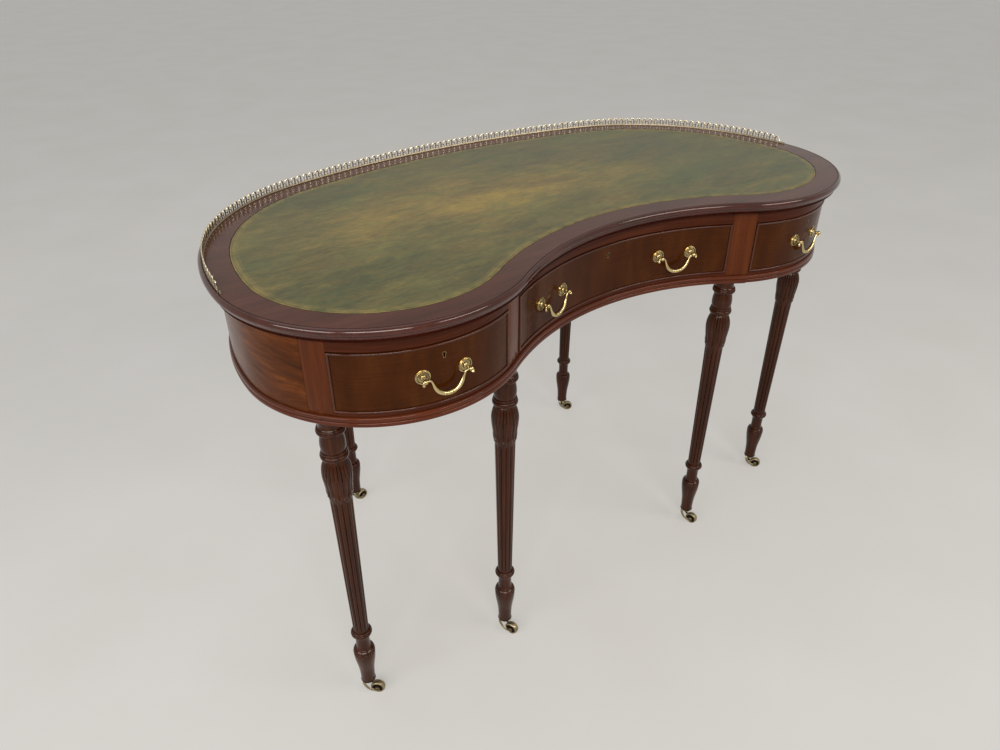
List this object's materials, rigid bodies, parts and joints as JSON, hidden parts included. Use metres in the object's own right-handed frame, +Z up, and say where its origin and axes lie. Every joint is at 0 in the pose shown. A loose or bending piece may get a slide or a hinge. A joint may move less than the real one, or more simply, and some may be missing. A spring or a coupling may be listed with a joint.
{
  "type": "kidney shaped writing desk",
  "caption": "Kidney shaped mahogany writing desk with green leather top, pierced brass gallery, frieze drawers and reeded legs on castors.",
  "frame": {"origin": "on the floor under the middle of the top", "axes": "+X along the desk to the sitter's right, -Y towards the sitter, the side with the drawers and the knee hollow, +Z up"},
  "size_m": [1.2214, 0.655, 0.7708],
  "materials": {
    "mahogany": "polished",
    "mahogany_top": "polished",
    "drawer_oak": "matte",
    "green_leather": "satin",
    "polished_brass": "polished",
    "aged_brass": "satin"
  },
  "bodies": {
    "desk": {"top_board": "mahogany_top", "writing_leather": "green_leather", "gallery_left": "polished_brass", "gallery_back": "polished_brass", "gallery_right": "polished_brass", "back_panel": "mahogany", "end_panel_left": "mahogany", "end_panel_right": "mahogany", "top_rail": "mahogany", "bottom_rail": "mahogany", "moulding_front": "mahogany", "moulding_back": "mahogany", "leg_outer_left": "mahogany", "leg_inner_left": "mahogany", "leg_inner_right": "mahogany", "leg_outer_right": "mahogany", "leg_back_left": "mahogany", "leg_back_right": "mahogany", "partition_left": "drawer_oak", "partition_right": "drawer_oak", "outer_runner_left": "drawer_oak", "outer_runner_right": "drawer_oak", "castor_plate_outer_left": "aged_brass", "castor_plate_inner_left": "aged_brass", "castor_plate_inner_right": "aged_brass", "castor_plate_outer_right": "aged_brass", "castor_plate_back_left": "aged_brass", "castor_plate_back_right": "aged_brass"},
    "left_drawer": {"drawer_front_left": "mahogany", "drawer_box_left": "drawer_oak", "rose_left_a": "polished_brass", "rose_left_b": "polished_brass"},
    "centre_drawer": {"drawer_front_centre": "mahogany", "drawer_box_centre": "drawer_oak", "rose_centre_left_a": "polished_brass", "rose_centre_left_b": "polished_brass", "rose_centre_right_a": "polished_brass", "rose_centre_right_b": "polished_brass"},
    "right_drawer": {"drawer_front_right": "mahogany", "drawer_box_right": "drawer_oak", "rose_right_a": "polished_brass", "rose_right_b": "polished_brass"},
    "bail_left": {"bail_left": "polished_brass"},
    "bail_centre_left": {"bail_centre_left": "polished_brass"},
    "bail_centre_right": {"bail_centre_right": "polished_brass"},
    "bail_right": {"bail_right": "polished_brass"},
    "castor_horn_outer_left": {"castor_horn_outer_left": "aged_brass"},
    "castor_wheel_outer_left": {"castor_wheel_outer_left": "aged_brass"},
    "castor_horn_inner_left": {"castor_horn_inner_left": "aged_brass"},
    "castor_wheel_inner_left": {"castor_wheel_inner_left": "aged_brass"},
    "castor_horn_inner_right": {"castor_horn_inner_right": "aged_brass"},
    "castor_wheel_inner_right": {"castor_wheel_inner_right": "aged_brass"},
    "castor_horn_outer_right": {"castor_horn_outer_right": "aged_brass"},
    "castor_wheel_outer_right": {"castor_wheel_outer_right": "aged_brass"},
    "castor_horn_back_left": {"castor_horn_back_left": "aged_brass"},
    "castor_wheel_back_left": {"castor_wheel_back_left": "aged_brass"},
    "castor_horn_back_right": {"castor_horn_back_right": "aged_brass"},
    "castor_wheel_back_right": {"castor_wheel_back_right": "aged_brass"}
  },
  "joints": [
    {"name": "left_drawer_slide", "type": "slide", "parent": "desk", "child": "left_drawer", "axis": [0, -1, 0], "range_m": [0, 0.28]},
    {"name": "centre_drawer_slide", "type": "slide", "parent": "desk", "child": "centre_drawer", "axis": [0, -1, 0], "range_m": [0, 0.28]},
    {"name": "right_drawer_slide", "type": "slide", "parent": "desk", "child": "right_drawer", "axis": [0, -1, 0], "range_m": [0, 0.28]},
    {"name": "left_bail_hinge", "type": "hinge", "parent": "left_drawer", "child": "bail_left", "pos_m": [-0.39638, -0.31505, 0.6655], "axis": [-0.9945, 0.1045, 0], "range_deg": [-8, 175]},
    {"name": "centre_left_bail_hinge", "type": "hinge", "parent": "centre_drawer", "child": "bail_centre_left", "pos_m": [-0.13604, -0.23013, 0.6655], "axis": [-0.9532, -0.3024, 0], "range_deg": [-8, 175]},
    {"name": "centre_right_bail_hinge", "type": "hinge", "parent": "centre_drawer", "child": "bail_centre_right", "pos_m": [0.13604, -0.23013, 0.6655], "axis": [-0.9532, 0.3024, 0], "range_deg": [-8, 175]},
    {"name": "right_bail_hinge", "type": "hinge", "parent": "right_drawer", "child": "bail_right", "pos_m": [0.39638, -0.31505, 0.6655], "axis": [-0.9945, -0.1045, 0], "range_deg": [-8, 175]},
    {"name": "outer_left_castor_swivel", "type": "hinge", "parent": "desk", "child": "castor_horn_outer_left", "pos_m": [-0.52802, -0.21304, 0.03], "axis": [0, 0, 1], "continuous": true},
    {"name": "outer_left_castor_roll", "type": "hinge", "parent": "castor_horn_outer_left", "child": "castor_wheel_outer_left", "pos_m": [-0.51668, -0.22361, 0.01267], "axis": [0.6818, 0.7315, 0], "continuous": true},
    {"name": "inner_left_castor_swivel", "type": "hinge", "parent": "desk", "child": "castor_horn_inner_left", "pos_m": [-0.25547, -0.25013, 0.03], "axis": [0, 0, 1], "continuous": true},
    {"name": "inner_left_castor_roll", "type": "hinge", "parent": "castor_horn_inner_left", "child": "castor_wheel_inner_left", "pos_m": [-0.24967, -0.2645, 0.01267], "axis": [0.9273, 0.3743, 0], "continuous": true},
    {"name": "inner_right_castor_swivel", "type": "hinge", "parent": "desk", "child": "castor_horn_inner_right", "pos_m": [0.25547, -0.25013, 0.03], "axis": [0, 0, 1], "continuous": true},
    {"name": "inner_right_castor_roll", "type": "hinge", "parent": "castor_horn_inner_right", "child": "castor_wheel_inner_right", "pos_m": [0.25975, -0.26503, 0.01267], "axis": [0.9611, 0.2761, 0], "continuous": true},
    {"name": "outer_right_castor_swivel", "type": "hinge", "parent": "desk", "child": "castor_horn_outer_right", "pos_m": [0.52802, -0.21304, 0.03], "axis": [0, 0, 1], "continuous": true},
    {"name": "outer_right_castor_roll", "type": "hinge", "parent": "castor_horn_outer_right", "child": "castor_wheel_outer_right", "pos_m": [0.53798, -0.22491, 0.01267], "axis": [0.7661, 0.6428, 0], "continuous": true},
    {"name": "back_left_castor_swivel", "type": "hinge", "parent": "desk", "child": "castor_horn_back_left", "pos_m": [-0.31521, 0.25038, 0.03], "axis": [0, 0, 1], "continuous": true},
    {"name": "back_left_castor_roll", "type": "hinge", "parent": "castor_horn_back_left", "child": "castor_wheel_back_left", "pos_m": [-0.29986, 0.25254, 0.01267], "axis": [-0.1393, 0.9902, 0], "continuous": true},
    {"name": "back_right_castor_swivel", "type": "hinge", "parent": "desk", "child": "castor_horn_back_right", "pos_m": [0.31521, 0.25038, 0.03], "axis": [0, 0, 1], "continuous": true},
    {"name": "back_right_castor_roll", "type": "hinge", "parent": "castor_horn_back_right", "child": "castor_wheel_back_right", "pos_m": [0.32821, 0.24194, 0.01267], "axis": [0.5445, 0.8387, 0], "continuous": true}
  ]
}
